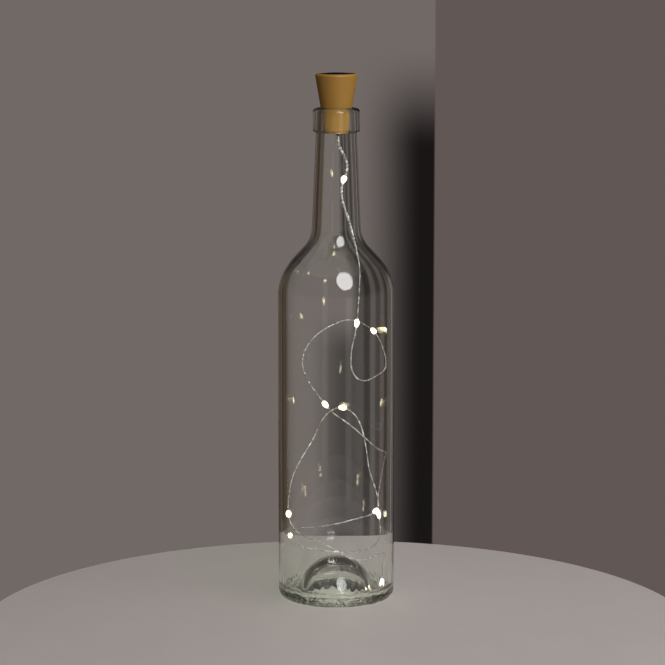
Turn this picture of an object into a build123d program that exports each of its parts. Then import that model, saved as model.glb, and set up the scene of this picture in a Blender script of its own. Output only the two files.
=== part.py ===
"""Cork bottle light.

A clear wine bottle is closed by a plastic stopper shaped like a cork. A solar panel on the stopper's
top charges a small cell inside it, and a slide switch under it lights a string of ten small lamps
that springs against the inside of the bottle.

Millimetres, +Z up. The origin is the centre of the bottle's base, on the surface that it stands on.
"""
import os
from math import atan2, cos, pi, radians, sin, sqrt, tan

from build123d import *

os.makedirs("parts", exist_ok=True)

# Bottle
bottle_height = 310.0
body_radius = 36.6
glass_wall = 3.2
heel_round = 5.0
shoulder_rise = 22.0
shoulder_round = 35.0
neck_length = 81.5
neck_corner_radius = 15.5
neck_round = 18.6
neck_top_radius = 12.65
lip_reach = 2.05
lip_height = 14.5
lip_top_round = 2.6
lip_edge_round = 0.6
mouth_radius = 9.0

# Punt, the dome that is pushed up into the bottle's base
punt_margin = 16.6
punt_centre_height = 0.7
punt_glass = 4.3
punt_edge_round = 1.2
punt_foot_round = 3.0
floor_glass = 5.5
floor_round = 5.5

# Stopper head, the flared upper shell
head_height = 21.3
head_top_radius = 13.3
head_seat = 0.7
head_rim_round = 1.3
head_rim_round_share = 0.75
head_foot_round = 0.4
head_foot_thickness = 2.0
head_wall = 1.4
panel_rim = 1.8
panel_depth = 2.6
panel_ledge = 1.0

# Stopper plug, the lower shell that hangs in the neck
plug_length = 14.5
plug_mouth_gap = 0.4
plug_draft = 0.85
plug_tip_round = 1.2
plug_floor = 1.5
plug_wall = 1.05
plug_ledge = 0.4
spigot_step = 0.7
spigot_height = 6.5
shell_fit = 0.05

# Solar panel
panel_fit = 0.1
cell_board_thickness = 1.0
cell_side = 15.0
cell_corner = 3.5
cell_thickness = 0.4
window_crown = 0.8
window_edge_drop = 0.2

# Circuit board and what is soldered to it
board_margin = 0.2
board_thickness = 0.8
chip_width = 5.0
chip_depth = 2.0
chip_height = 3.6
chip_place = (0.0, 3.9)
chip_round = 0.3
leg_count = 4
leg_side = 0.5
leg_pitch = 1.27
leg_height = 1.5
choke_radius = 1.6
choke_length = 6.4
choke_round = 0.7
choke_height = 2.0
choke_place = (-0.6, -2.2)
choke_lead_radius = 0.3
choke_lead_span = 9.6
choke_lead_bend = 0.8

# Rechargeable cell and its contact strips
cell_room = 1.6
can_round = 0.6
cap_radius = 1.9
cap_height = 0.9
cap_round = 0.4
strip_thickness = 0.2
strip_margin = 1.6
strip_width = 3.0

# Slide switch
switch_board_fit = 0.1
switch_board_thickness = 0.8
switch_length = 7.0
switch_width = 3.0
switch_height = 3.2
switch_inset = 3.6
lever_stem = 1.2
lever_foot_length = 3.4
lever_foot_width = 1.9
lever_foot_height = 0.8
lever_reach = 1.0
lever_travel = 1.6
lever_gap = 0.15

# Wires inside the stopper
wire_radius = 0.4
wire_gap = 0.15
wire_bend = 0.55
panel_wire_bend = 1.0
panel_wire_start = (3.2, 4.6)
panel_wire_slack = 2.2

# Wire gland in the plug's floor
gland_place = (1.0, -2.2)
gland_flange_radius = 1.9
gland_flange_height = 0.8
gland_neck_radius = 1.2
gland_cone_radius = 1.9
gland_cone_height = 2.5

# Lamp string: a twisted pair in the neck, then the two wires side by side
lead_diameter = 1.4
string_diameter = 0.85
drop_radius = 1.5
drop_length = 5.6
drop_round = 1.4
chip_lamp_length = 1.6
chip_lamp_width = 0.8
chip_lamp_height = 0.55
chip_lamp_gap = 0.08
end_in_drop = 1.4

# The string's route, from the gland to the last lamp: first the stretch in the neck
lead_route = [
    (1.0, -2.2, 293.0), (1.0, -2.2, 288.4), (3.2, -2.5, 283.2), (6.0, -2.2, 278.0),
    (6.8, -1.9, 271.6), (2.7, -2.6, 260.8), (3.6, -2.8, 252.3), (6.3, -2.2, 244.3),
    (9.0, -2.4, 235.6), (10.4, -2.7, 228.8), (12.4, -3.4, 220.5),
]
# Then the loops that spring against the inside of the body, down to the valley round the punt
loop_route = [
    (12.4, -3.4, 220.5), (14.8, -4.24, 210.54), (14.3, -5.2, 197.0), (13.4, -6.0, 182.5),
    (12.0, -8.0, 170.5), (9.0, -16.5, 160.5), (8.8, -24.0, 151.5), (11.3, -27.9, 145.5),
    (17.5, -27.3, 142.8), (24.6, -20.8, 146.0), (30.4, -9.0, 147.5), (31.9, 3.5, 154.5),
    (27.4, 15.0, 165.0), (20.8, 23.2, 170.2), (8.5, 30.4, 174.0), (-5.5, 30.6, 168.5),
    (-17.5, 20.5, 161.0), (-22.5, 6.5, 151.0), (-19.3, -7.5, 142.5), (-10.2, -22.3, 132.0),
    (-2.6, -28.6, 123.8), (8.3, -30.8, 116.8), (17.8, -26.4, 107.0), (26.0, -18.4, 97.5),
    (31.9, -3.5, 94.0), (31.2, 7.5, 84.0), (28.9, 12.5, 70.0), (27.0, 14.2, 55.5),
    (29.2, 10.8, 43.5), (29.5, 12.0, 33.5), (23.0, 21.5, 24.0), (10.5, 29.8, 19.5),
    (-4.5, 31.0, 19.8), (-18.5, 25.2, 23.0), (-26.2, 17.4, 28.2), (-29.6, 9.5, 34.0),
    (-30.6, -2.0, 41.0), (-24.4, -13.2, 47.2), (-15.0, -26.2, 50.3), (-0.5, -30.3, 53.3),
    (13.0, -27.4, 56.4), (21.4, -21.5, 57.3), (26.6, -13.0, 60.2), (25.4, -2.5, 68.5),
    (21.0, 7.0, 79.5), (19.8, 16.5, 92.5), (16.2, 25.0, 106.5), (9.4, 29.8, 114.5),
    (-0.6, 30.9, 116.0), (-9.8, 29.9, 108.2), (-14.8, 28.0, 95.5), (-23.2, 21.6, 84.0),
    (-29.8, 10.6, 73.0), (-31.0, -2.0, 60.0), (-28.4, -13.0, 49.5), (-21.0, -23.7, 44.0),
    (-9.0, -30.2, 42.5), (4.5, -31.0, 33.5), (14.5, -28.0, 28.8), (25.8, -18.4, 31.5),
    (31.6, -4.5, 28.5), (31.0, 3.5, 19.5), (29.6, 2.5, 10.5), (27.9, -8.5, 8.4),
]
# How many runs of its stretch come before the run that carries each lamp
lead_lamp_run_counts = [4]
loop_lamp_run_counts = [3, 12, 19, 27, 35, 41, 47, 53]

# Sizes that follow from the ones above
neck_corner_height = bottle_height - neck_length
shoulder_corner_height = neck_corner_height - shoulder_rise
punt_radius = body_radius - punt_margin
lip_radius = neck_top_radius + lip_reach
plug_top_radius = mouth_radius - plug_mouth_gap
plug_tip_radius = plug_top_radius - plug_draft
plug_bore_radius = plug_tip_radius - plug_wall
spigot_radius = plug_top_radius - spigot_step
head_foot_radius = mouth_radius + head_seat
panel_radius = head_top_radius - panel_rim
board_radius = spigot_radius - board_margin
cell_can_radius = plug_bore_radius - cell_room
strip_length = 2 * (cell_can_radius - strip_margin)
switch_offset = plug_bore_radius - switch_inset
head_top = bottle_height + head_height
panel_ledge_height = head_top - panel_depth
plug_tip = bottle_height - plug_length
plug_floor_top = plug_tip + plug_floor
switch_board_height = plug_floor_top + switch_height
cell_bottom = switch_board_height + switch_board_thickness + strip_thickness
board_height = bottle_height + spigot_height
board_top = board_height + board_thickness
lip_bottom = bottle_height - lip_height
gland_tip = plug_tip - gland_cone_height


def bend_radii(route):
    """Each bend is as large as the two runs beside it allow."""
    points = [Vector(*point) for point in route]
    radii = []
    for before, corner, after in zip(points, points[1:], points[2:]):
        turn = (corner - before).get_angle(after - corner)
        shorter = min((corner - before).length, (after - corner).length)
        radii.append(0.45 * shorter / tan(radians(turn) / 2))
    return radii


# Glass bottle: one blown piece, drawn as a half section and revolved. The wall follows the outside,
# so the inner corners of the neck and shoulder lie on the bisectors of the outer ones.
slope_turn = atan2(body_radius - neck_corner_radius, neck_corner_height - shoulder_corner_height)
corner_drop = glass_wall * tan(slope_turn / 2)
inner_radius = body_radius - glass_wall
dome_radius = punt_radius + punt_glass
dome_foot_radius = sqrt(dome_radius**2 - (floor_glass - punt_centre_height) ** 2)
punt_mouth_radius = sqrt(punt_radius**2 - punt_centre_height**2)
valley_round = min(punt_foot_round, inner_radius - floor_round - dome_foot_radius)

with BuildPart() as glass_bottle:
    with BuildSketch(Plane.XZ) as section:
        with BuildLine():
            FilletPolyline(
                (punt_mouth_radius, 0),
                (body_radius, 0),
                (body_radius, shoulder_corner_height),
                (neck_corner_radius, neck_corner_height),
                (neck_top_radius, lip_bottom),
                radius=(heel_round, shoulder_round, neck_round),
            )
            FilletPolyline(
                (neck_top_radius, lip_bottom),
                (lip_radius, lip_bottom),
                (lip_radius, bottle_height),
                (mouth_radius, bottle_height),
                radius=(lip_edge_round, lip_top_round),
            )
            FilletPolyline(
                (mouth_radius, bottle_height),
                (neck_corner_radius - glass_wall, neck_corner_height - corner_drop),
                (inner_radius, shoulder_corner_height - corner_drop),
                (inner_radius, floor_glass),
                (dome_foot_radius, floor_glass),
                radius=(neck_round + glass_wall, shoulder_round - glass_wall, floor_round),
            )
            ThreePointArc(
                (dome_foot_radius, floor_glass),
                (dome_radius * cos(pi / 4), punt_centre_height + dome_radius * sin(pi / 4)),
                (0, punt_centre_height + dome_radius),
            )
            Line((0, punt_centre_height + dome_radius), (0, punt_centre_height + punt_radius))
            ThreePointArc(
                (0, punt_centre_height + punt_radius),
                (punt_radius * cos(pi / 4), punt_centre_height + punt_radius * sin(pi / 4)),
                (punt_mouth_radius, 0),
            )
        make_face()
        fillet(section.vertices().sort_by_distance((dome_foot_radius, floor_glass))[0], valley_round)
        fillet(section.vertices().sort_by_distance((punt_mouth_radius, 0))[0], punt_edge_round)
    revolve(axis=Axis.Z)
glass_bottle.part.label = "glass_bottle"
export_step(glass_bottle.part, "parts/glass_bottle.step")

# Stopper head: a moulded cone, wider at the top, with a recess for the solar panel and a hole in its
# foot for the plug's spigot. Its foot rests on the bottle's lip.
head_taper = (head_top_radius - head_foot_radius) / head_height
cavity_foot_radius = head_foot_radius + head_taper * head_foot_thickness - head_wall
rim_round = min(head_rim_round, head_rim_round_share * panel_rim)

with BuildPart() as stopper_head:
    with BuildSketch(Plane.XZ) as section:
        with BuildLine():
            Polyline(
                (spigot_radius + shell_fit, bottle_height),
                (head_foot_radius, bottle_height),
                (head_top_radius, head_top),
                (panel_radius, head_top),
                (panel_radius, panel_ledge_height),
                (panel_radius - panel_ledge, panel_ledge_height),
                (cavity_foot_radius, bottle_height + head_foot_thickness),
                (spigot_radius + shell_fit, bottle_height + head_foot_thickness),
                close=True,
            )
        make_face()
        fillet(section.vertices().sort_by_distance((head_top_radius, head_top))[0], rim_round)
        fillet(section.vertices().sort_by_distance((head_foot_radius, bottle_height))[0], head_foot_round)
    revolve(axis=Axis.Z)
stopper_head.part.label = "stopper_head"
export_step(stopper_head.part, "parts/stopper_head.step")

# Stopper plug: a tapered cup under the head. Its spigot stands inside the head, a ledge in its bore
# carries the switch board, and its floor has the gland's hole and the switch lever's slot.
slot_length = lever_stem + lever_travel + 2 * lever_gap
slot_width = lever_stem + 2 * lever_gap

with BuildPart() as stopper_plug:
    with BuildSketch(Plane.XZ) as section:
        with BuildLine():
            Polyline(
                (0, plug_tip),
                (plug_tip_radius, plug_tip),
                (plug_top_radius, bottle_height),
                (spigot_radius, bottle_height),
                (spigot_radius, board_height),
                (plug_bore_radius, board_height),
                (plug_bore_radius, switch_board_height),
                (plug_bore_radius - plug_ledge, switch_board_height),
                (plug_bore_radius - plug_ledge, plug_floor_top),
                (0, plug_floor_top),
                close=True,
            )
        make_face()
        fillet(section.vertices().sort_by_distance((plug_tip_radius, plug_tip))[0], plug_tip_round)
    revolve(axis=Axis.Z)
    with BuildSketch(Plane.XY.offset(plug_tip)):
        with Locations(gland_place):
            Circle(gland_neck_radius + shell_fit)
        with Locations((0, switch_offset)):
            Rectangle(slot_length, slot_width)
    extrude(amount=plug_floor, mode=Mode.SUBTRACT)
stopper_plug.part.label = "stopper_plug"
export_step(stopper_plug.part, "parts/stopper_plug.step")

# Cell board: the black disc that lies on the ledge in the head and carries the solar cell.
with BuildPart() as cell_board:
    with BuildSketch(Plane.XY.offset(panel_ledge_height)):
        Circle(panel_radius - panel_fit)
    extrude(amount=cell_board_thickness)
cell_board.part.label = "cell_board"
export_step(cell_board.part, "parts/cell_board.step")

# Solar cell: a thin dark square with cut corners.
cell_height = panel_ledge_height + cell_board_thickness

with BuildPart() as solar_cell:
    with BuildSketch(Plane.XY.offset(cell_height)) as outline:
        Rectangle(cell_side, cell_side)
        chamfer(outline.vertices(), cell_corner)
    extrude(amount=cell_thickness)
solar_cell.part.label = "solar_cell"
export_step(solar_cell.part, "parts/solar_cell.step")

# Solar window: the clear cast cover, flush with the rim and slightly domed, with the cell cast in it.
window_edge = head_top - window_edge_drop
window_top = window_edge + window_crown
window_radius = panel_radius - panel_fit
crown_radius = (window_radius**2 + window_crown**2) / (2 * window_crown)
half_angle = atan2(window_radius, crown_radius - window_crown) / 2

with BuildPart() as solar_window:
    with BuildSketch(Plane.XZ):
        with BuildLine():
            Polyline(
                (0, window_top),
                (0, cell_height),
                (window_radius, cell_height),
                (window_radius, window_edge),
            )
            ThreePointArc(
                (window_radius, window_edge),
                (crown_radius * sin(half_angle), window_top - crown_radius * (1 - cos(half_angle))),
                (0, window_top),
            )
        make_face()
    revolve(axis=Axis.Z)
    with BuildSketch(Plane.XY.offset(cell_height)) as pocket:
        Rectangle(cell_side, cell_side)
        chamfer(pocket.vertices(), cell_corner)
    extrude(amount=cell_thickness, mode=Mode.SUBTRACT)
solar_window.part.label = "solar_window"
export_step(solar_window.part, "parts/solar_window.step")

# Circuit board: a small disc that lies on the spigot's rim.
with BuildPart() as circuit_board:
    with BuildSketch(Plane.XY.offset(board_height)):
        Circle(board_radius)
    extrude(amount=board_thickness)
circuit_board.part.label = "circuit_board"
export_step(circuit_board.part, "parts/circuit_board.step")

# Driver chip: a moulded block that stands on four legs. It charges the cell and lifts its voltage.
with BuildPart() as driver_chip:
    with BuildSketch(Plane.XY.offset(board_top + leg_height)):
        with Locations(chip_place):
            Rectangle(chip_width, chip_depth)
    extrude(amount=chip_height)
    fillet(driver_chip.edges().filter_by(Axis.Z), chip_round)
    with BuildSketch(Plane.XY.offset(board_top)):
        with Locations(chip_place):
            with GridLocations(leg_pitch, 0, leg_count, 1):
                Rectangle(leg_side, leg_side)
    extrude(amount=leg_height)
driver_chip.part.label = "driver_chip"
export_step(driver_chip.part, "parts/driver_chip.step")

# Choke: a round body on its side, with its two leads bent down to the board.
choke_axis_height = board_top + choke_height
choke_middle = Vector(*choke_place, choke_axis_height)
choke_half = Vector(choke_length / 2, 0, 0)
lead_half = Vector(choke_lead_span / 2, 0, 0)
choke_foot = Vector(0, 0, -choke_height)

with BuildPart() as choke:
    with BuildSketch(Plane(origin=choke_middle - choke_half, z_dir=(1, 0, 0))):
        Circle(choke_radius)
    extrude(amount=choke_length)
    fillet(choke.edges().filter_by(GeomType.CIRCLE), choke_round)
    for side in (-1, 1):
        with BuildLine() as bent_lead:
            FilletPolyline(
                choke_middle + side * choke_half,
                choke_middle + side * lead_half,
                choke_middle + side * lead_half + choke_foot,
                radius=choke_lead_bend,
            )
        with BuildSketch(Plane(origin=bent_lead.line @ 0, z_dir=bent_lead.line % 0)):
            Circle(choke_lead_radius)
        sweep()
choke.part.label = "choke"
export_step(choke.part, "parts/choke.step")

# Rechargeable cell: a short can with a raised cap, standing on its lower contact strip.
can_top = board_height - strip_thickness - cap_height

with BuildPart() as battery_cell:
    with BuildSketch(Plane.XZ) as section:
        with BuildLine():
            Polyline(
                (0, cell_bottom),
                (cell_can_radius, cell_bottom),
                (cell_can_radius, can_top),
                (cap_radius, can_top),
                (cap_radius, can_top + cap_height),
                (0, can_top + cap_height),
                close=True,
            )
        make_face()
        fillet(section.vertices().sort_by_distance((cell_can_radius, cell_bottom))[0], can_round)
        fillet(section.vertices().sort_by_distance((cell_can_radius, can_top))[0], can_round)
        fillet(section.vertices().sort_by_distance((cap_radius, can_top + cap_height))[0], cap_round)
    revolve(axis=Axis.Z)
battery_cell.part.label = "battery_cell"
export_step(battery_cell.part, "parts/battery_cell.step")

# Contact strips: thin nickel straps welded to the two ends of the cell.
with BuildPart() as strip_upper:
    with BuildSketch(Plane.XY.offset(board_height - strip_thickness)):
        SlotOverall(strip_length, strip_width)
    extrude(amount=strip_thickness)
strip_upper.part.label = "strip_upper"
export_step(strip_upper.part, "parts/strip_upper.step")

with BuildPart() as strip_lower:
    with BuildSketch(Plane.XY.offset(cell_bottom - strip_thickness)):
        SlotOverall(strip_length, strip_width)
    extrude(amount=strip_thickness)
strip_lower.part.label = "strip_lower"
export_step(strip_lower.part, "parts/strip_lower.step")

# Switch board: a disc on the ledge in the plug, with a notch for the wires that pass it.
wire_track = cell_can_radius + wire_gap + wire_radius
notch_half = wire_radius + wire_gap

with BuildPart() as switch_board:
    with BuildSketch(Plane.XY.offset(switch_board_height)):
        Circle(plug_bore_radius - switch_board_fit)
        with Locations((0, -wire_track)):
            Circle(notch_half, mode=Mode.SUBTRACT)
        with Locations((0, -wire_track - plug_bore_radius / 2)):
            Rectangle(2 * notch_half, plug_bore_radius, mode=Mode.SUBTRACT)
    extrude(amount=switch_board_thickness)
switch_board.part.label = "switch_board"
export_step(switch_board.part, "parts/switch_board.step")

# Switch body: a block between the plug's floor and the switch board, with a track for the lever.
track_length = lever_foot_length + lever_travel + 2 * lever_gap
track_width = lever_foot_width + 2 * lever_gap
track_height = lever_foot_height + 2 * lever_gap

with BuildPart() as switch_body:
    with BuildSketch(Plane.XY.offset(plug_floor_top)):
        with Locations((0, switch_offset)):
            Rectangle(switch_length, switch_width)
    extrude(amount=switch_height)
    with BuildSketch(Plane.XY.offset(plug_floor_top)):
        with Locations((0, switch_offset)):
            Rectangle(track_length, track_width)
    extrude(amount=track_height, mode=Mode.SUBTRACT)
switch_body.part.label = "switch_body"
export_step(switch_body.part, "parts/switch_body.step")

# Switch lever: a foot that slides in the track and a stem through the floor, shown switched on.
lever_x = lever_travel / 2

with BuildPart() as switch_lever:
    with BuildSketch(Plane.XY.offset(plug_floor_top + lever_gap)):
        with Locations((lever_x, switch_offset)):
            Rectangle(lever_foot_length, lever_foot_width)
    extrude(amount=lever_foot_height)
    with BuildSketch(Plane.XY.offset(plug_tip - lever_reach)):
        with Locations((lever_x, switch_offset)):
            Rectangle(lever_stem, lever_stem)
    extrude(amount=lever_reach + plug_floor + lever_gap)
switch_lever.part.label = "switch_lever"
export_step(switch_lever.part, "parts/switch_lever.step")

# Panel wires: from the cell board down to the circuit board, each with a little slack.
panel_wire_drop = panel_ledge_height - board_top

for colour, side in (("red", 1), ("black", -1)):
    start = Vector(side * panel_wire_start[0], -panel_wire_start[1], panel_ledge_height)
    bulge = Vector(side * panel_wire_slack, 0, 0)
    with BuildPart() as panel_wire:
        with BuildLine() as path:
            FilletPolyline(
                start,
                start - Vector(0, 0, panel_wire_drop / 4),
                start - Vector(0, 0, panel_wire_drop / 2) + bulge,
                start - Vector(0, 0, panel_wire_drop * 3 / 4),
                start - Vector(0, 0, panel_wire_drop),
                radius=panel_wire_bend,
            )
        with BuildSketch(Plane(origin=path.line @ 0, z_dir=path.line % 0)):
            Circle(wire_radius)
        sweep()
    panel_wire.part.label = f"panel_wire_{colour}"
    export_step(panel_wire.part, f"parts/panel_wire_{colour}.step")

# Feed wire: the sleeved pair from the circuit board, down beside the cell, to the gland.
gland_top = plug_floor_top + gland_flange_height
feed_turn = (switch_board_height + gland_top) / 2

with BuildPart() as feed_wire:
    with BuildLine() as path:
        FilletPolyline(
            (0, -wire_track, board_height),
            (0, -wire_track, feed_turn),
            (*gland_place, feed_turn),
            (*gland_place, gland_top),
            radius=wire_bend,
        )
    with BuildSketch(Plane(origin=path.line @ 0, z_dir=path.line % 0)):
        Circle(wire_radius)
    sweep()
feed_wire.part.label = "feed_wire"
export_step(feed_wire.part, "parts/feed_wire.step")

# Wire gland: a soft bush with a flange above the floor and a tapered nose below it.
with BuildPart() as wire_gland:
    with BuildSketch(Plane.XY.offset(plug_floor_top)):
        with Locations(gland_place):
            Circle(gland_flange_radius)
    extrude(amount=gland_flange_height)
    with BuildSketch(Plane.XY.offset(plug_tip)):
        with Locations(gland_place):
            Circle(gland_neck_radius)
    extrude(amount=plug_floor)
    with BuildSketch(Plane.XY.offset(plug_tip)):
        with Locations(gland_place):
            Circle(gland_cone_radius)
    with BuildSketch(Plane.XY.offset(gland_tip)):
        with Locations(gland_place):
            Circle(lead_diameter / 2)
    loft()
wire_gland.part.label = "wire_gland"
export_step(wire_gland.part, "parts/wire_gland.step")

# Lamp string: fine silver wire in two stretches, which meet end to end under the neck.
lead_radii = bend_radii(lead_route)
loop_radii = bend_radii(loop_route)

with BuildPart() as string_lead:
    with BuildLine() as lead_path:
        FilletPolyline(*lead_route, radius=lead_radii)
    with BuildSketch(Plane(origin=lead_path.line @ 0, z_dir=lead_path.line % 0)):
        Circle(lead_diameter / 2)
    sweep()
string_lead.part.label = "string_lead"
export_step(string_lead.part, "parts/string_lead.step")

with BuildPart() as string_loops:
    with BuildLine() as loop_path:
        FilletPolyline(*loop_route, radius=loop_radii)
    with BuildSketch(Plane(origin=loop_path.line @ 0, z_dir=loop_path.line % 0)):
        Circle(string_diameter / 2)
    sweep()
string_loops.part.label = "string_loops"
export_step(string_loops.part, "parts/string_loops.step")

# Lamps: each is a tiny chip on the wire, sealed with it in a drop of clear resin. The last one seals
# the string's end.
lamp_places = []
for route, run_counts, width in (
    (lead_route, lead_lamp_run_counts, lead_diameter),
    (loop_route, loop_lamp_run_counts, string_diameter),
):
    for run_count in run_counts:
        start, end = Vector(*route[run_count]), Vector(*route[run_count + 1])
        lamp_places.append(((start + end) / 2, (end - start).normalized(), width, drop_length))
last_start, last_end = Vector(*loop_route[-2]), Vector(*loop_route[-1])
last_direction = (last_end - last_start).normalized()
last_middle = last_end - last_direction * end_in_drop
lamp_places.append((last_middle, last_direction, string_diameter, end_in_drop))

for number, (middle, direction, width, wire_reach) in enumerate(lamp_places, start=1):
    across = Plane(origin=middle, z_dir=direction)
    chip_plane = across.offset(-chip_lamp_length / 2)
    chip_centre = ((width + chip_lamp_height) / 2 + chip_lamp_gap, 0)
    with BuildPart() as led_drop:
        with BuildSketch(across.offset(-drop_length / 2)):
            Circle(drop_radius)
        extrude(amount=drop_length)
        fillet(led_drop.edges().filter_by(GeomType.CIRCLE), drop_round)
        with BuildSketch(across.offset(-drop_length)):
            Circle(width / 2)
        extrude(amount=drop_length + wire_reach, mode=Mode.SUBTRACT)
        with BuildSketch(chip_plane):
            with Locations(chip_centre):
                Rectangle(chip_lamp_height, chip_lamp_width)
        extrude(amount=chip_lamp_length, mode=Mode.SUBTRACT)
    led_drop.part.label = f"led_drop_{number:02}"
    export_step(led_drop.part, f"parts/led_drop_{number:02}.step")

    with BuildPart() as led_chip:
        with BuildSketch(chip_plane):
            with Locations(chip_centre):
                Rectangle(chip_lamp_height, chip_lamp_width)
        extrude(amount=chip_lamp_length)
    led_chip.part.label = f"led_chip_{number:02}"
    export_step(led_chip.part, f"parts/led_chip_{number:02}.step")

# What the string measures
string_length = lead_path.wire().length + loop_path.wire().length
lead_volume = pi * (lead_diameter / 2) ** 2 * lead_path.wire().length
loop_volume = pi * (string_diameter / 2) ** 2 * loop_path.wire().length
print("bend radii, neck:", [round(radius, 1) for radius in lead_radii])
print("bend radii, loops:", [round(radius, 1) for radius in loop_radii])
print("string length:", round(string_length, 1))
print("neck stretch volume over section times length:", round(string_lead.part.volume / lead_volume, 4))
print("loops volume over section times length:", round(string_loops.part.volume / loop_volume, 4))
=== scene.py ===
from math import pi, radians, sin, tan

import bmesh
import bpy
from mathutils import Matrix, Vector, noise


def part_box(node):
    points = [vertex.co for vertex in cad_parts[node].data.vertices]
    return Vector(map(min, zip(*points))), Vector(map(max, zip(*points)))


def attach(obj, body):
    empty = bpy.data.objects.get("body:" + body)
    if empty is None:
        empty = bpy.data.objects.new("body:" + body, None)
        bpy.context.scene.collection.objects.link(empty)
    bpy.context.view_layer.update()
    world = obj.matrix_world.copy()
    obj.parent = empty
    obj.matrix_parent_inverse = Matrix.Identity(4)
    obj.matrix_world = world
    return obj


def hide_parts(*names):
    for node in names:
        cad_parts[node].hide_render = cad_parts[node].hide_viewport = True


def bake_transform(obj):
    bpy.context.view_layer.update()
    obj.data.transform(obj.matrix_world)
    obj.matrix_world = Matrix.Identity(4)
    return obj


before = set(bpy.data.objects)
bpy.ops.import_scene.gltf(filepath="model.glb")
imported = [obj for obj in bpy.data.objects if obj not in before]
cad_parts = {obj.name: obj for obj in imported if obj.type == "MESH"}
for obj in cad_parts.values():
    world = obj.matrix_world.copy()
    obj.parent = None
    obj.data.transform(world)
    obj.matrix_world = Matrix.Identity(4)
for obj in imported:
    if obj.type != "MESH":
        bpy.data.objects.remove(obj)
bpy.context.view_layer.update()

# Glass bottle: clear blown glass, faintly green where it is thick. It was blown in a mould, so the body
# is true and the inside a little wavy. The base is pushed up in a dome, and the ring that it stands
# on is knurled so that the hot bottle does not slide on its conveyor.
bottle_radius = 0.0366
bottle_height = 0.3100
inner_radius = 0.0334
lip_radius = 0.0147
lip_underside = 0.2955
floor_inside = 0.0055
dome_centre = Vector((0.0, 0.0, 0.0007))
dome_underside = 0.020
dome_angle = 88.65
foot_centre = (0.021194, 0.0, 0.0012)
valley_centre = (0.02616, 0.0, 0.0085)
valley_angle = 73.4


def trace_line(bm, vertex, radius, height):
    """Draws the section on to this radius and height."""
    end = bmesh.ops.extrude_vert_indiv(bm, verts=[vertex])["verts"][0]
    end.co = (radius, 0.0, height)
    return end


def trace_arc(bm, vertex, centre, degrees, steps):
    """Draws the section on round this centre, clockwise for a positive angle."""
    turned = bmesh.ops.spin(bm, geom=[vertex], cent=centre, axis=(0.0, 1.0, 0.0),
                            angle=radians(degrees), steps=steps)
    return next(item for item in turned["geom_last"] if isinstance(item, bmesh.types.BMVert))


def trace_corners(bm, vertex, corners, steps):
    """Draws the section round corners of (radius, height, rounding), and ends on the last one."""
    for corner, after in zip(corners, corners[1:]):
        here = Vector((vertex.co.x, vertex.co.z))
        point = Vector(corner[:2])
        along = (point - here).normalized()
        onward = (Vector(after[:2]) - point).normalized()
        turn = along.angle(onward)
        if not corner[2]:
            vertex = trace_line(bm, vertex, *point)
            continue
        back = corner[2] * tan(turn / 2)
        left = 1 if along.x * onward.y > along.y * onward.x else -1
        start = point - along * back
        centre = start + Vector((-along.y, along.x)) * left * corner[2]
        vertex = trace_line(bm, vertex, *start)
        vertex = trace_arc(bm, vertex, (centre.x, 0.0, centre.y), -left * turn * 180 / pi, steps)
    return trace_line(bm, vertex, *corners[-1][:2])


def turn_on_axis(bm, steps):
    """Spins the section round the axis and closes it."""
    bmesh.ops.spin(bm, geom=bm.verts[:] + bm.edges[:], cent=(0, 0, 0), axis=(0, 0, 1),
                   angle=2 * pi, steps=steps, use_merge=True)
    bmesh.ops.remove_doubles(bm, verts=bm.verts, dist=1e-6)
    bmesh.ops.recalc_face_normals(bm, faces=bm.faces)


def finish_piece(bm, name, material):
    """Makes the mesh an object with smooth faces and one material."""
    for face in bm.faces:
        face.smooth = True
    mesh = bpy.data.meshes.new(name)
    bm.to_mesh(mesh)
    bm.free()
    mesh.materials.append(material)
    piece = bpy.data.objects.new(name, mesh)
    bpy.context.collection.objects.link(piece)
    return piece


def new_material(name, colour, roughness, metallic=0.0):
    """A material with one Principled shader, and its nodes, links and shader."""
    material = bpy.data.materials.new(name)
    material.use_nodes = True
    nodes, links = material.node_tree.nodes, material.node_tree.links
    shader = nodes["Principled BSDF"]
    shader.inputs["Base Color"].default_value = (*colour, 1.0)
    shader.inputs["Roughness"].default_value = roughness
    shader.inputs["Metallic"].default_value = metallic
    return material, nodes, links, shader


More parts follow.
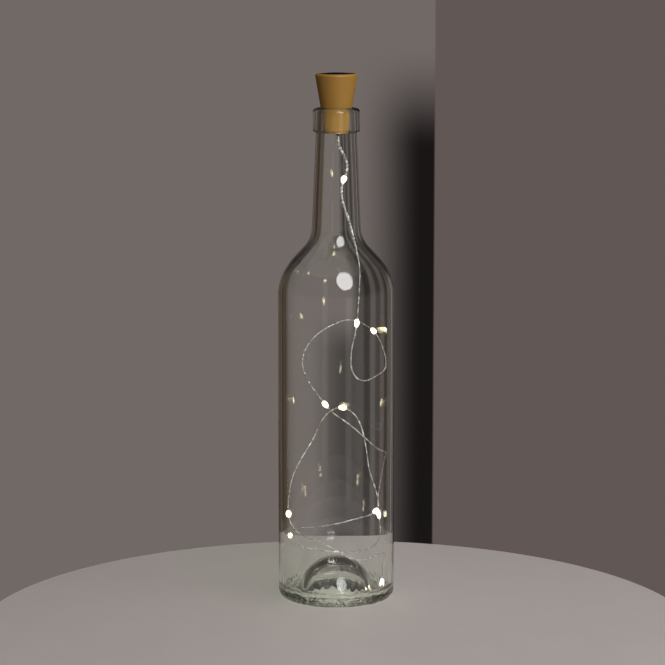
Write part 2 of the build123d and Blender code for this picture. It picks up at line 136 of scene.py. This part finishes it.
def build_grain():
    """Cloudy grain on the piece's own coordinates: a tone between two colours, and a height."""
    group = bpy.data.node_groups.new("grain", "ShaderNodeTree")
    for name, kind in (("Stretch", "Vector"), ("Scale", "Float"), ("Detail", "Float"),
                       ("Dark", "Color"), ("Light", "Color")):
        group.interface.new_socket(name, in_out="INPUT", socket_type="NodeSocket" + kind)
    group.interface.new_socket("Tone", in_out="OUTPUT", socket_type="NodeSocketColor")
    group.interface.new_socket("Height", in_out="OUTPUT", socket_type="NodeSocketFloat")
    nodes, links = group.nodes, group.links
    given, made = nodes.new("NodeGroupInput"), nodes.new("NodeGroupOutput")
    place = nodes.new("ShaderNodeTexCoord")
    stretched = nodes.new("ShaderNodeVectorMath")
    stretched.operation = "MULTIPLY"
    cloud = nodes.new("ShaderNodeTexNoise")
    share = nodes.new("ShaderNodeMapRange")
    share.interpolation_type = "SMOOTHSTEP"
    share.inputs["From Min"].default_value = 0.32
    share.inputs["From Max"].default_value = 0.68
    tone = nodes.new("ShaderNodeMix")
    tone.data_type = "RGBA"
    links.new(place.outputs["Object"], stretched.inputs[0])
    links.new(given.outputs["Stretch"], stretched.inputs[1])
    links.new(stretched.outputs["Vector"], cloud.inputs["Vector"])
    links.new(given.outputs["Scale"], cloud.inputs["Scale"])
    links.new(given.outputs["Detail"], cloud.inputs["Detail"])
    links.new(cloud.outputs["Fac"], share.inputs["Value"])
    links.new(share.outputs["Result"], tone.inputs["Factor"])
    links.new(given.outputs["Dark"], tone.inputs["A"])
    links.new(given.outputs["Light"], tone.inputs["B"])
    links.new(tone.outputs["Result"], made.inputs["Tone"])
    links.new(cloud.outputs["Fac"], made.inputs["Height"])
    return group


grain_group = build_grain()


def add_grain(nodes, scale, dark=(0.0, 0.0, 0.0), light=(1.0, 1.0, 1.0), detail=3.0,
              stretch=(1.0, 1.0, 1.0)):
    """The grain at this scale, between these two tones."""
    grain = nodes.new("ShaderNodeGroup")
    grain.node_tree = grain_group
    grain.inputs["Stretch"].default_value = stretch
    grain.inputs["Scale"].default_value = scale
    grain.inputs["Detail"].default_value = detail
    grain.inputs["Dark"].default_value = (*dark, 1.0)
    grain.inputs["Light"].default_value = (*light, 1.0)
    return grain


def add_bump(nodes, links, shader, height, strength, distance):
    """Feeds a height into the shader's normal."""
    bump = nodes.new("ShaderNodeBump")
    bump.inputs["Strength"].default_value = strength
    bump.inputs["Distance"].default_value = distance
    links.new(height, bump.inputs["Height"])
    links.new(bump.outputs["Normal"], shader.inputs["Normal"])


def pass_light(nodes, links, shader, tone):
    """Lets lamps light what stands behind clear material; only shadow rays go straight through."""
    rays = nodes.new("ShaderNodeLightPath")
    clear = nodes.new("ShaderNodeBsdfTransparent")
    clear.inputs["Color"].default_value = (*tone, 1.0)
    either = nodes.new("ShaderNodeMixShader")
    links.new(rays.outputs["Is Shadow Ray"], either.inputs["Fac"])
    links.new(shader.outputs["BSDF"], either.inputs[1])
    links.new(clear.outputs["BSDF"], either.inputs[2])
    links.new(either.outputs["Shader"], nodes["Material Output"].inputs["Surface"])


bottle_glass, nodes, links, shader = new_material("bottle_glass", (1.0, 1.0, 1.0), 0.0)
shader.inputs["Transmission Weight"].default_value = 1.0
shader.inputs["IOR"].default_value = 1.52
green = nodes.new("ShaderNodeVolumeAbsorption")
green.inputs["Color"].default_value = (0.66, 0.90, 0.55, 1.0)
green.inputs["Density"].default_value = 11.0
links.new(green.outputs["Volume"], nodes["Material Output"].inputs["Volume"])
pass_light(nodes, links, shader, (0.90, 0.92, 0.89))

# The mould leaves a slow ripple, and the knurled foot a crisp stipple that the light catches.
ripple = add_grain(nodes, 42.0, detail=1.0, stretch=(1.0, 1.0, 0.30))
place = nodes.new("ShaderNodeTexCoord")
split = nodes.new("ShaderNodeSeparateXYZ")
foot_share = nodes.new("ShaderNodeMapRange")
foot_share.interpolation_type = "SMOOTHSTEP"
foot_share.inputs["From Min"].default_value = 0.0054
foot_share.inputs["From Max"].default_value = 0.0042
foot_share.inputs["To Max"].default_value = 4.0
stipple = nodes.new("ShaderNodeTexVoronoi")
stipple.inputs["Scale"].default_value = 600.0
stipple_height = nodes.new("ShaderNodeMath")
stipple_height.operation = "MULTIPLY"
skin = nodes.new("ShaderNodeMath")
skin.operation = "ADD"
links.new(place.outputs["Object"], split.inputs["Vector"])
links.new(place.outputs["Object"], stipple.inputs["Vector"])
links.new(split.outputs["Z"], foot_share.inputs["Value"])
links.new(stipple.outputs["Distance"], stipple_height.inputs[0])
links.new(foot_share.outputs["Result"], stipple_height.inputs[1])
links.new(stipple_height.outputs["Value"], skin.inputs[0])
links.new(ripple.outputs["Height"], skin.inputs[1])
add_bump(nodes, links, shader, skin.outputs["Value"], 1.0, 0.0001)

# The section runs from the punt over the foot, up the outside, over the lip and down the inside.
heel_round = 0.0050
heel_rings = (0.0054, 0.0058, 0.0062, 0.0066, 0.0072, 0.0200)
bm = bmesh.new()
edge = bm.verts.new((0.0, 0.0, dome_centre.z + dome_underside))
edge = trace_arc(bm, edge, dome_centre, dome_angle, 26)
edge = trace_arc(bm, edge, foot_centre, -dome_angle, 5)
edge = trace_corners(bm, edge, [
    (bottle_radius, 0.0, heel_round),
    *((bottle_radius, height, 0.0) for height in heel_rings),
    (bottle_radius, 0.2065, 0.0350),
    (0.0155, 0.2285, 0.0186),
    (0.01265, lip_underside, 0.0006),
    (lip_radius, lip_underside, 0.0006),
    (lip_radius, bottle_height, 0.0026),
    (0.0090, bottle_height, 0.0007),
    (0.0123, 0.22721, 0.0218),
    (inner_radius, 0.20521, 0.0318),
    (inner_radius, floor_inside, 0.0055),
    (valley_centre[0], floor_inside, 0.0),
], 14)
edge = trace_arc(bm, edge, valley_centre, valley_angle, 6)
edge = trace_arc(bm, edge, dome_centre, -valley_angle, 22)
edge.co.x = 0.0
turn_on_axis(bm, 384)

# The knurl: small lumps all over the foot, up to half a millimetre deep, that end above the heel.
knurl_top = 0.0070
knurl_edge = 0.0225
knurl_depth = 0.00048
knurl_fineness = 560.0
knurl_run_in = 0.003
knurl_run_out = 0.0006
inside_margin = 0.0005
heel_axis = Vector((bottle_radius - heel_round, heel_round))
for vertex in bm.verts:
    radius, height = Vector(vertex.co.xy).length, vertex.co.z
    inside = radius < inner_radius + inside_margin and height > floor_inside - inside_margin
    if inside or radius < knurl_edge or height > knurl_top:
        continue
    inward = Vector((min(radius, heel_axis.x) - radius, max(height, heel_axis.y) - height)).normalized()
    lump = min(1.0, max(0.0, 0.5 + 1.3 * noise.noise(vertex.co * knurl_fineness)))
    fade = min(1.0, (radius - knurl_edge) / knurl_run_in) * min(1.0, (knurl_top - height) / knurl_run_out)
    depth = knurl_depth * lump * fade
    outward = Vector(vertex.co.xy).normalized() * (radius + inward.x * depth)
    vertex.co = (*outward, height + inward.y * depth)
bottle = finish_piece(bm, "bottle", bottle_glass)
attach(bottle, "bottle")
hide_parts("glass_bottle")

# Stopper: two shells of cork-brown plastic, the head and the plug, moulded in one colour and welded at
# the plug's shoulder. The skin is satin and very finely grained.
stopper_brown, nodes, links, shader = new_material("stopper_brown", (0.345, 0.180, 0.032), 0.40)
skin = add_grain(nodes, 900.0, (0.333, 0.172, 0.030), (0.357, 0.188, 0.034), 4.0)
sheen = add_grain(nodes, 2600.0, (0.36, 0.36, 0.36), (0.46, 0.46, 0.46), 2.0)
links.new(skin.outputs["Tone"], shader.inputs["Base Color"])
links.new(sheen.outputs["Tone"], shader.inputs["Roughness"])
add_bump(nodes, links, shader, sheen.outputs["Height"], 0.20, 0.00004)


def dress(node, material):
    """Gives a CAD node its material."""
    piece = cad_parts[node]
    piece.data.materials.clear()
    piece.data.materials.append(material)
    return piece


dress("stopper_head", stopper_brown)
dress("stopper_plug", stopper_brown)

# Solar panel: a black board with a dark silicon cell on it, under a clear resin window that is cast
# over both and takes the shine off them. Fine silver fingers and wider bars collect the current.
board_black, nodes, links, shader = new_material("board_black", (0.012, 0.012, 0.014), 0.45)
shader.inputs["Specular IOR Level"].default_value = 0.0
weave = add_grain(nodes, 1500.0, (0.009, 0.009, 0.011), (0.015, 0.015, 0.017), 2.0)
links.new(weave.outputs["Tone"], shader.inputs["Base Color"])
add_bump(nodes, links, shader, weave.outputs["Height"], 0.2, 0.00003)
dress("cell_board", board_black)

silicon, nodes, links, shader = new_material("silicon", (0.010, 0.011, 0.020), 0.22)
shader.inputs["Specular IOR Level"].default_value = 0.05
place = nodes.new("ShaderNodeTexCoord")
split = nodes.new("ShaderNodeSeparateXYZ")
links.new(place.outputs["Object"], split.inputs["Vector"])


def silver_lines(nodes, links, coordinate, pitch, width):
    """A mask of thin lines across one coordinate."""
    wrap = nodes.new("ShaderNodeMath")
    wrap.operation = "PINGPONG"
    wrap.inputs[1].default_value = pitch / 2
    links.new(coordinate, wrap.inputs[0])
    line = nodes.new("ShaderNodeMath")
    line.operation = "LESS_THAN"
    line.inputs[1].default_value = width / 2
    links.new(wrap.outputs["Value"], line.inputs[0])
    return line.outputs["Value"]


fingers = silver_lines(nodes, links, split.outputs["X"], pitch=0.0015, width=0.00012)
bars = silver_lines(nodes, links, split.outputs["Y"], pitch=0.0070, width=0.0005)
both = nodes.new("ShaderNodeMath")
both.operation = "MAXIMUM"
links.new(fingers, both.inputs[0])
links.new(bars, both.inputs[1])
crystal = add_grain(nodes, 500.0, (0.006, 0.007, 0.014), (0.016, 0.018, 0.036), 1.0)
printed = nodes.new("ShaderNodeMix")
printed.data_type = "RGBA"
links.new(both.outputs["Value"], printed.inputs["Factor"])
links.new(crystal.outputs["Tone"], printed.inputs["A"])
printed.inputs["B"].default_value = (0.22, 0.22, 0.23, 1.0)
links.new(printed.outputs["Result"], shader.inputs["Base Color"])
dress("solar_cell", silicon)

window_resin, nodes, links, shader = new_material("window_resin", (0.97, 0.98, 0.99), 0.12)
shader.inputs["Transmission Weight"].default_value = 1.0
shader.inputs["IOR"].default_value = 1.50
frosting = add_grain(nodes, 2200.0, (0.09, 0.09, 0.09), (0.16, 0.16, 0.16), 2.0)
links.new(frosting.outputs["Tone"], shader.inputs["Roughness"])
pass_light(nodes, links, shader, (0.90, 0.90, 0.90))
add_bump(nodes, links, shader, frosting.outputs["Height"], 0.08, 0.00004)
dress("solar_window", window_resin)

# Circuit board: a green disc of glass fibre on the plug's rim, which steps the cell's 1.2 volts up for
# the lamps. It carries a black moulded driver chip and a resin-dipped choke, soldered on, and two
# sleeved copper wires come down to it from the solar panel.
board_green, nodes, links, shader = new_material("board_green", (0.02, 0.13, 0.055), 0.3)
copper = add_grain(nodes, 700.0, detail=0.0)
track = nodes.new("ShaderNodeValToRGB")
track.color_ramp.elements[0].position = 0.49
track.color_ramp.elements[0].color = (0.014, 0.105, 0.042, 1.0)
track.color_ramp.elements[1].position = 0.51
track.color_ramp.elements[1].color = (0.035, 0.185, 0.080, 1.0)
links.new(copper.outputs["Height"], track.inputs["Fac"])
links.new(track.outputs["Color"], shader.inputs["Base Color"])
dress("circuit_board", board_green)
dress("switch_board", board_green)


def speckled(name, dark, light, roughness, scale, metallic=0.0, bump=0.15, depth=0.00004):
    """A finish that varies a little between two tones, with a fine skin."""
    material, nodes, links, shader = new_material(name, light, roughness, metallic)
    skin = add_grain(nodes, scale, dark, light)
    links.new(skin.outputs["Tone"], shader.inputs["Base Color"])
    add_bump(nodes, links, shader, skin.outputs["Height"], bump, depth)
    return material


moulded_black = speckled("moulded_black", (0.012, 0.012, 0.012), (0.022, 0.022, 0.022), 0.5, 1800.0)
choke_green = speckled("choke_green", (0.12, 0.33, 0.25), (0.16, 0.42, 0.32), 0.25, 600.0)
red_sleeve = speckled("red_sleeve", (0.42, 0.02, 0.015), (0.55, 0.03, 0.02), 0.35, 900.0)
black_sleeve = speckled("black_sleeve", (0.014, 0.014, 0.014), (0.022, 0.022, 0.022), 0.35, 900.0)
dress("driver_chip", moulded_black)
dress("choke", choke_green)
dress("panel_wire_red", red_sleeve)
dress("panel_wire_black", black_sleeve)

# Rechargeable cell: a nickel-metal hydride can in a shrunk green sleeve. It stands in the plug, and a
# nickel strip is welded to each of its ends.
sleeve_green = speckled("sleeve_green", (0.03, 0.20, 0.07), (0.05, 0.27, 0.10), 0.3, 300.0)
dress("battery_cell", sleeve_green)
nickel = speckled("nickel", (0.55, 0.53, 0.49), (0.66, 0.64, 0.60), 0.3, 1200.0, metallic=1.0)
dress("strip_upper", nickel)
dress("strip_lower", nickel)

# Slide switch: a pressed steel shell, soldered to a small board on the ledge in the plug. Its moulded
# black lever comes out through a slot in the plug's lower face.
switch_steel = speckled("switch_steel", (0.52, 0.52, 0.52), (0.62, 0.62, 0.62), 0.32, 900.0, metallic=1.0)
dress("switch_body", switch_steel)
dress("switch_lever", moulded_black)

# Wire gland: a soft black rubber bush, pressed into the plug's floor, that grips the wire where it
# leaves the stopper.
gland_rubber = speckled("gland_rubber", (0.016, 0.015, 0.014), (0.030, 0.028, 0.026), 0.6, 1400.0)
dress("wire_gland", gland_rubber)

# Lamp string: two hair-thin silver-plated wires under clear lacquer. They are a close twisted pair in
# the neck and lie loosely side by side below it, where they spring against the glass in loops.
string_route = [
    (0.001, -0.0022, 0.293), (0.001, -0.0022, 0.2884), (0.0032, -0.0025, 0.2832),
    (0.006, -0.0022, 0.278), (0.0068, -0.0019, 0.2716), (0.0027, -0.0026, 0.2608),
    (0.0036, -0.0028, 0.2523), (0.0063, -0.0022, 0.2443), (0.009, -0.0024, 0.2356),
    (0.0104, -0.0027, 0.2288), (0.0124, -0.0034, 0.2205), (0.0148, -0.00424, 0.21054),
    (0.0143, -0.0052, 0.197), (0.0134, -0.006, 0.1825), (0.012, -0.008, 0.1705),
    (0.009, -0.0165, 0.1605), (0.0088, -0.024, 0.1515), (0.0113, -0.0279, 0.1455),
    (0.0175, -0.0273, 0.1428), (0.0246, -0.0208, 0.146), (0.0304, -0.009, 0.1475),
    (0.0319, 0.0035, 0.1545), (0.0274, 0.015, 0.165), (0.0208, 0.0232, 0.1702),
    (0.0085, 0.0304, 0.174), (-0.0055, 0.0306, 0.1685), (-0.0175, 0.0205, 0.161),
    (-0.0225, 0.0065, 0.151), (-0.0193, -0.0075, 0.1425), (-0.0102, -0.0223, 0.132),
    (-0.0026, -0.0286, 0.1238), (0.0083, -0.0308, 0.1168), (0.0178, -0.0264, 0.107),
    (0.026, -0.0184, 0.0975), (0.0319, -0.0035, 0.094), (0.0312, 0.0075, 0.084),
    (0.0289, 0.0125, 0.07), (0.027, 0.0142, 0.0555), (0.0292, 0.0108, 0.0435),
    (0.0295, 0.012, 0.0335), (0.023, 0.0215, 0.024), (0.0105, 0.0298, 0.0195),
    (-0.0045, 0.031, 0.0198), (-0.0185, 0.0252, 0.023), (-0.0262, 0.0174, 0.0282),
    (-0.0296, 0.0095, 0.034), (-0.0306, -0.002, 0.041), (-0.0244, -0.0132, 0.0472),
    (-0.015, -0.0262, 0.0503), (-0.0005, -0.0303, 0.0533), (0.013, -0.0274, 0.0564),
    (0.0214, -0.0215, 0.0573), (0.0266, -0.013, 0.0602), (0.0254, -0.0025, 0.0685),
    (0.021, 0.007, 0.0795), (0.0198, 0.0165, 0.0925), (0.0162, 0.025, 0.1065),
    (0.0094, 0.0298, 0.1145), (-0.0006, 0.0309, 0.116), (-0.0098, 0.0299, 0.1082),
    (-0.0148, 0.028, 0.0955), (-0.0232, 0.0216, 0.084), (-0.0298, 0.0106, 0.073),
    (-0.031, -0.002, 0.06), (-0.0284, -0.013, 0.0495), (-0.021, -0.0237, 0.044),
    (-0.009, -0.0302, 0.0425), (0.0045, -0.031, 0.0335), (0.0145, -0.028, 0.0288),
    (0.0258, -0.0184, 0.0315), (0.0316, -0.0045, 0.0285), (0.031, 0.0035, 0.0195),
    (0.0296, 0.0025, 0.0105), (0.0279, -0.0085, 0.0084),
]
pair_end = 0.2205
pair_fade = 0.012
pair_wire = 0.00044
pair_pitch = 0.0047
pair_sway = 0.00022
loop_wire = 0.00022
loop_pitch = 0.0150


def read_route(name, points):
    """Draws a smooth line on the route's points and reads it back as places in order."""
    data = bpy.data.curves.new(name, "CURVE")
    data.dimensions = "3D"
    data.resolution_u = 12
    line = data.splines.new("NURBS")
    line.points.add(len(points) - 1)
    for point, place in zip(line.points, points):
        point.co = (*place, 1.0)
    line.order_u = 3
    line.use_endpoint_u = True
    guide = bpy.data.objects.new(name, data)
    mesh = bpy.data.meshes.new_from_object(guide)
    places = [vertex.co.copy() for vertex in mesh.vertices]
    bpy.data.objects.remove(guide)
    bpy.data.curves.remove(data)
    bpy.data.meshes.remove(mesh)
    return places


string_places = read_route("string_line", string_route)


def directions_and_sides(places):
    """At each place, the direction of the line and a side that turns with it as little as it can."""
    directions = [(b - a).normalized() for a, b in zip(places, places[1:])]
    directions.append(directions[-1])
    side = directions[0].orthogonal().normalized()
    sides = [side]
    for before, after in zip(directions, directions[1:]):
        side = (before.rotation_difference(after) @ side).normalized()
        sides.append(side)
    return directions, sides


string_directions, string_sides = directions_and_sides(string_places)


def lay_strand(name, start_turn):
    """One wire of the pair, wound round the string's line, kinked and swaying a little in the neck."""
    data = bpy.data.curves.new(name, "CURVE")
    data.dimensions = "3D"
    data.bevel_depth = 1.0
    data.bevel_resolution = 1
    data.use_fill_caps = True
    strand = data.splines.new("POLY")
    strand.points.add(len(string_places) - 1)
    turn = start_turn
    before = string_places[0]
    line = zip(strand.points, string_places, string_directions, string_sides)
    for point, place, direction, side in line:
        share = min(1.0, max(0.0, (place.z - pair_end + pair_fade / 2) / pair_fade))
        pitch = loop_pitch + (pair_pitch - loop_pitch) * share
        turn += (place - before).length * 2 * pi / pitch
        before = place
        wire = loop_wire + (pair_wire - loop_wire) * share
        offset = Matrix.Rotation(turn, 3, direction) @ side
        kink = 1.0 + share * (0.16 * sin(1900.0 * place.z) + 0.10 * sin(3100.0 * place.z + start_turn))
        sway = side * sin(2300.0 * place.z) + direction.cross(side) * sin(3100.0 * place.z + 1.0)
        point.co = (*(place + offset * wire * kink + sway * share * pair_sway), 1.0)
        point.radius = wire
    wound = bpy.data.objects.new(name, data)
    mesh = bpy.data.meshes.new_from_object(wound)
    bpy.data.objects.remove(wound)
    bpy.data.curves.remove(data)
    return mesh


# The wire's tone runs from dark to nearly white along it: painted glints of the lacquer over the silver's
# own tone.
silver_and_painted_glints = speckled("silver_and_painted_glints", (0.25, 0.22, 0.19), (1.0, 0.98, 0.93), 0.20, 560.0,
                         metallic=0.45, bump=0.8, depth=0.00025)
bm = bmesh.new()
for start_turn in (0.0, pi):
    bm.from_mesh(lay_strand("strand", start_turn))
bmesh.ops.remove_doubles(bm, verts=bm.verts, dist=1e-7)
bmesh.ops.recalc_face_normals(bm, faces=bm.faces)
string = finish_piece(bm, "lamp_string", silver_and_painted_glints)
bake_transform(string)
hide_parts("string_lead", "string_loops")

# Lamps: a tiny warm-white chip soldered across the pair, sealed in a drop of clear resin that has run
# a little way along the wire on both sides. The resin glows with its chip.
resin, nodes, links, shader = new_material("drop_resin", (1.0, 0.96, 0.86), 0.08)
shader.inputs["Transmission Weight"].default_value = 0.70
shader.inputs["IOR"].default_value = 1.50
shader.inputs["Emission Strength"].default_value = 3.4
glow = nodes.new("ShaderNodeAttribute")
glow.attribute_name = "glow"
warmth = nodes.new("ShaderNodeValToRGB")
warmth.color_ramp.elements[0].color = (0.10, 0.075, 0.030, 1.0)
warmth.color_ramp.elements[1].color = (1.0, 0.92, 0.70, 1.0)
middle_warmth = warmth.color_ramp.elements.new(0.45)
middle_warmth.color = (0.42, 0.34, 0.18, 1.0)
links.new(glow.outputs["Fac"], warmth.inputs["Fac"])
links.new(warmth.outputs["Color"], shader.inputs["Emission Color"])
swirl = add_grain(nodes, 900.0, detail=1.0)
add_bump(nodes, links, shader, swirl.outputs["Height"], 0.3, 0.0001)

phosphor, nodes, links, shader = new_material("phosphor", (0.95, 0.80, 0.35), 0.5)
shader.inputs["Emission Color"].default_value = (1.0, 0.84, 0.50, 1.0)
shader.inputs["Emission Strength"].default_value = 30.0
powder = add_grain(nodes, 3000.0, (0.90, 0.74, 0.30), (0.98, 0.84, 0.40), 2.0)
links.new(powder.outputs["Tone"], shader.inputs["Base Color"])
add_bump(nodes, links, shader, powder.outputs["Height"], 0.3, 0.00002)

drop_long = 0.0028
drop_wide = 0.00150
chip_size = (0.00055, 0.0008, 0.0016)
chip_gap = 0.0003
for number in range(1, 11):
    low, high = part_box(f"led_drop_{number:02}")
    middle = (Vector(low) + Vector(high)) / 2
    nearest = min(range(len(string_places)), key=lambda i: (string_places[i] - middle).length)
    # The last drop sits a little back from the wire's cut end.
    if number == 10:
        nearest -= 2
    place, direction = string_places[nearest], string_directions[nearest]
    turned = Matrix.Translation(place) @ direction.to_track_quat("Z", "X").to_matrix().to_4x4()
    bm = bmesh.new()
    bmesh.ops.create_uvsphere(bm, u_segments=28, v_segments=20, radius=1.0)
    glow_layer = bm.verts.layers.float.new("glow")
    lean = 0.5 + 0.5 * sin(2.4 * number)
    for vertex in bm.verts:
        along = vertex.co.z
        vertex[glow_layer] = max(0.0, 1.0 - 1.05 * along * along)
        belly = 1.0 - 0.22 * along * (0.4 + 0.6 * lean) - 0.10 * along * along
        vertex.co = (
            vertex.co.x * drop_wide * belly + 0.00015 * lean * (1 - along * along),
            vertex.co.y * drop_wide * belly * 0.94,
            (abs(along) ** 0.9) * (1 if along > 0 else -1) * drop_long,
        )
    bmesh.ops.transform(bm, matrix=turned, verts=bm.verts)
    drop = finish_piece(bm, f"resin_drop_{number:02}", resin)
    bm = bmesh.new()
    bmesh.ops.create_cube(bm, size=1.0)
    bmesh.ops.scale(bm, vec=chip_size, verts=bm.verts)
    bmesh.ops.bevel(bm, geom=bm.edges[:], offset=0.00006, offset_type="OFFSET", segments=2,
                    profile=0.5, affect="EDGES", material=-1)
    wire = pair_wire if number == 1 else loop_wire
    bmesh.ops.translate(bm, vec=(2 * wire + chip_gap, 0.0, 0.0), verts=bm.verts)
    bmesh.ops.transform(bm, matrix=turned, verts=bm.verts)
    chip = finish_piece(bm, f"lamp_chip_{number:02}", phosphor)
    for piece, node, slot in ((drop, "led_drop", "drop_resin"), (chip, "led_chip", "lamp_chip")):
        if number == 1:
            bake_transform(piece)
        else:
            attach(piece, "bottle")
        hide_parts(f"{node}_{number:02}")

# Studio: a pale round table under an oval softbox up to the right, with weaker lamps above and beside
# it. The room's walls are a warm grey with painted shadow, nearly black, in the gap between two of
# them, and its sides go between dark and pale with the bearing, which draws the edges of the glass.
table_pale, nodes, links, shader = new_material("table_pale", (0.52, 0.465, 0.445), 0.55)
paint = add_grain(nodes, 30.0, (0.515, 0.460, 0.440), (0.525, 0.470, 0.450))
links.new(paint.outputs["Tone"], shader.inputs["Base Color"])
table_radius = 0.22
table_middle = (0.0, -0.075, 0.0)
bm = bmesh.new()
bmesh.ops.create_circle(bm, cap_ends=True, segments=192, radius=table_radius)
bmesh.ops.translate(bm, vec=table_middle, verts=bm.verts)
floor = finish_piece(bm, "floor", table_pale)


def hang_lamp(name, width, height, power, place, target):
    """A soft, oval area lamp that points at the target."""
    data = bpy.data.lights.new(name, "AREA")
    data.shape = "ELLIPSE"
    data.size = width
    data.size_y = height
    data.energy = power
    lamp = bpy.data.objects.new(name, data)
    lamp.location = place
    lamp.rotation_euler = (Vector(target) - Vector(place)).to_track_quat("-Z", "Y").to_euler()
    bpy.context.collection.objects.link(lamp)
    return lamp


hang_lamp("softbox", 0.95, 1.22, power=19.0, place=(0.483, -1.258, 1.29), target=(0, 0, 0.2))
overhead = hang_lamp("overhead", 1.4, 1.4, power=6.0, place=(0.3, 0.4, 1.9), target=(0, 0, 0.1))
side = hang_lamp("side", 1.5, 1.5, power=10.0, place=(1.35, -0.80, 0.80), target=(0, 0, 0.2))
for lamp in (overhead, side):
    lamp.visible_glossy = False
    lamp.visible_transmission = False

# The room is plain tones in the world, by bearing from straight behind the bottle and by rise.
world = bpy.data.worlds.new("room")
bpy.context.scene.world = world
world.use_nodes = True
nodes, links = world.node_tree.nodes, world.node_tree.links
room = nodes["Background"]
place = nodes.new("ShaderNodeTexCoord")
split = nodes.new("ShaderNodeSeparateXYZ")
bearing = nodes.new("ShaderNodeMath")
bearing.operation = "ARCTAN2"
links.new(place.outputs["Generated"], split.inputs["Vector"])
links.new(split.outputs["X"], bearing.inputs[0])
links.new(split.outputs["Y"], bearing.inputs[1])


def share_between(value, start, end):
    """How far a value has gone from the start to the end."""
    share = nodes.new("ShaderNodeMapRange")
    share.interpolation_type = "SMOOTHSTEP"
    share.inputs["From Min"].default_value = start
    share.inputs["From Max"].default_value = end
    links.new(value, share.inputs["Value"])
    return share.outputs["Result"]


def bearing_share(start, end):
    """How far the bearing has gone from the start to the end, in degrees."""
    return share_between(bearing.outputs["Value"], radians(start), radians(end))


def rise_share(start, end):
    """How far the direction's rise has gone from the start to the end."""
    return share_between(split.outputs["Z"], start, end)


def blend_tones(share, first, second):
    """Goes over from the first tone to the second; either may be a colour or another blend."""
    tones = nodes.new("ShaderNodeMix")
    tones.data_type = "RGBA"
    links.new(share, tones.inputs["Factor"])
    for socket, tone in (("A", first), ("B", second)):
        if isinstance(tone, tuple):
            tones.inputs[socket].default_value = (*tone, 1.0)
        else:
            links.new(tone, tones.inputs[socket])
    return tones.outputs["Result"]


# The camera sees the walls and the painted shadow in the gap between them, which fades out above the
# neck.
left_wall = (0.166, 0.142, 0.134)
right_wall = (0.120, 0.095, 0.090)
# The tone in the gap between the walls is painted shadow, nearly black.
wall_gap_shadow = (0.010, 0.008, 0.008)
plain = blend_tones(bearing_share(0.3, 1.9), left_wall, wall_gap_shadow)
plain = blend_tones(bearing_share(2.16, 2.21), plain, right_wall)
open_wall = blend_tones(bearing_share(2.16, 2.21), left_wall, right_wall)
plain = blend_tones(rise_share(-0.088, -0.046), plain, open_wall)
plain = blend_tones(rise_share(-0.30, -0.42), plain, open_wall)

# The glass bends and mirrors more of the room, which goes over to each tone between two bearings.
shaded_wall = blend_tones(rise_share(-0.150, -0.172), left_wall, (0.046, 0.040, 0.039))
sides = left_wall
for start, end, tone in (
    (-2.9, 1.0, shaded_wall),
    (1.2, 2.3, (0.062, 0.053, 0.051)),
    (2.7, 3.3, (0.012, 0.010, 0.010)),
    (4.0, 4.7, (0.086, 0.073, 0.070)),
    (5.4, 6.2, (0.030, 0.026, 0.025)),
    (7.6, 8.6, (0.100, 0.078, 0.074)),
    (11.0, 13.0, (0.020, 0.016, 0.014)),
    (17.0, 19.0, (0.090, 0.080, 0.074)),
    (27.0, 28.0, (0.300, 0.270, 0.255)),
    (31.0, 33.0, (0.085, 0.072, 0.064)),
    (60.0, 90.0, (0.240, 0.220, 0.210)),
    (146.0, 151.0, (0.520, 0.490, 0.470)),
    (158.0, 164.0, (0.180, 0.160, 0.150)),
    (-10.0, -17.0, (0.062, 0.046, 0.026)),
    (-25.0, -28.0, (0.115, 0.095, 0.080)),
    (-31.0, -36.0, (0.046, 0.028, 0.018)),
    (-60.0, -90.0, (0.160, 0.140, 0.130)),
):
    sides = blend_tones(bearing_share(start, end), sides, tone)
sides = blend_tones(rise_share(0.0, 0.16), sides, (0.050, 0.046, 0.044))

# What the solar panel mirrors, low behind the bottle, is dark.
dark_back = blend_tones(bearing_share(-30.0, -22.0), sides, (0.014, 0.011, 0.010))
dark_back = blend_tones(bearing_share(22.0, 30.0), dark_back, sides)
sides = blend_tones(rise_share(0.010, 0.048), sides, dark_back)

rays = nodes.new("ShaderNodeLightPath")
seen = blend_tones(rays.outputs["Is Camera Ray"], sides, plain)
links.new(seen, room.inputs["Color"])

camera_place = (0.0, -1.6, 0.4256)
camera_fall = 9.101
camera_turn = 0.085
camera_data = bpy.data.cameras.new("camera")
camera_data.lens = 139.8
camera_data.sensor_width = 36.0
camera = bpy.data.objects.new("camera", camera_data)
camera.location = camera_place
camera.rotation_euler = (radians(90 - camera_fall), 0.0, radians(camera_turn))
bpy.context.collection.objects.link(camera)
bpy.context.scene.camera = camera
bpy.context.scene.view_settings.view_transform = "Standard"
